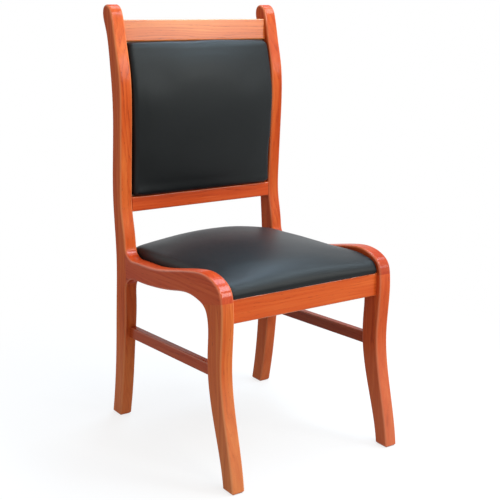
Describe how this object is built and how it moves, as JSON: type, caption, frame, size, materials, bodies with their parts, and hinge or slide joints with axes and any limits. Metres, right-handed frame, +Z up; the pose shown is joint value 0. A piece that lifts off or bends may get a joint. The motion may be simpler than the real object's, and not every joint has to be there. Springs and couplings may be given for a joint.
{
  "type": "meeting chair",
  "caption": "Armless wooden meeting chair: curved side frames with knee-shaped seat rails, low side stretchers, and a padded leather seat and back set between the frames.",
  "frame": {"origin": "on the floor, midway between the side frames and midway between the front of the front feet and the rear of the rear feet", "axes": "+X to the sitter's left, +Y to the rear, +Z up"},
  "size_m": [0.45, 0.5487, 0.986],
  "materials": {
    "lacquered_wood": "orange-red stain under clear gloss lacquer",
    "plain_wood": "bare beech",
    "plywood": "bare birch plywood",
    "black_leather": "smooth black leather, satin",
    "foam": "upholstery foam",
    "dust_cloth": "thin black non-woven cloth",
    "steel": "zinc-plated wood screws"
  },
  "bodies": {
    "root": {"right_rear_post": "lacquered_wood", "left_rear_post": "lacquered_wood", "right_side_rail": "lacquered_wood", "left_side_rail": "lacquered_wood", "right_front_leg": "lacquered_wood", "left_front_leg": "lacquered_wood", "right_stretcher": "lacquered_wood", "left_stretcher": "lacquered_wood", "front_seat_rail": "lacquered_wood", "rear_seat_rail": "lacquered_wood", "crest_rail": "lacquered_wood", "lower_back_rail": "lacquered_wood", "front_right_corner_block": "plain_wood", "front_left_corner_block": "plain_wood", "rear_left_corner_block": "plain_wood", "rear_right_corner_block": "plain_wood", "crest_rail_dowels": "plain_wood", "lower_back_rail_dowels": "plain_wood", "front_rail_dowels": "plain_wood", "rear_rail_dowels": "plain_wood", "side_rail_post_dowels": "plain_wood", "side_rail_leg_dowels": "plain_wood", "stretcher_dowels": "plain_wood", "seat_board": "plywood", "back_board": "plywood", "seat_cover": "black_leather", "back_cover": "black_leather", "back_rear_panel": "black_leather", "seat_foam": "foam", "back_foam": "foam", "seat_dust_cover": "dust_cloth", "corner_block_screws": "steel", "seat_screws": "steel", "back_screws": "steel"}
  },
  "joints": []
}
